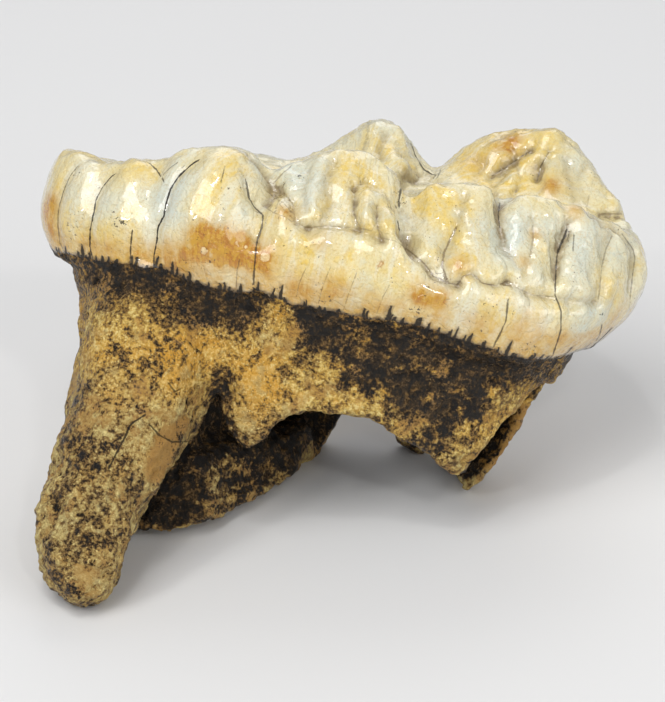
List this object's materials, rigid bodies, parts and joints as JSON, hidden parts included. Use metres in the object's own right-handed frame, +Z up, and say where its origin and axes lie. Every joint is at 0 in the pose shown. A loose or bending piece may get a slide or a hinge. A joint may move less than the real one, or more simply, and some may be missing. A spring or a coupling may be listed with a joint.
{
  "type": "fossil tooth",
  "caption": "Fossil cave bear upper molar, a cusped and furrowed enamel crown on a long hind root and broken, hollow front roots, lying as it rests by itself.",
  "frame": {"origin": "middle of the footprint's bounding box, on the surface the tooth rests on", "axes": "+Z up in the resting pose; +X along the crown, towards the front (mesial) end of the tooth; +Y towards the cheek side, so the tongue side and the root tip face -Y"},
  "size_m": [0.0456, 0.0338, 0.028],
  "materials": {
    "tooth": "satin"
  },
  "bodies": {
    "root": {"cave_bear_tooth": "tooth"}
  },
  "joints": []
}
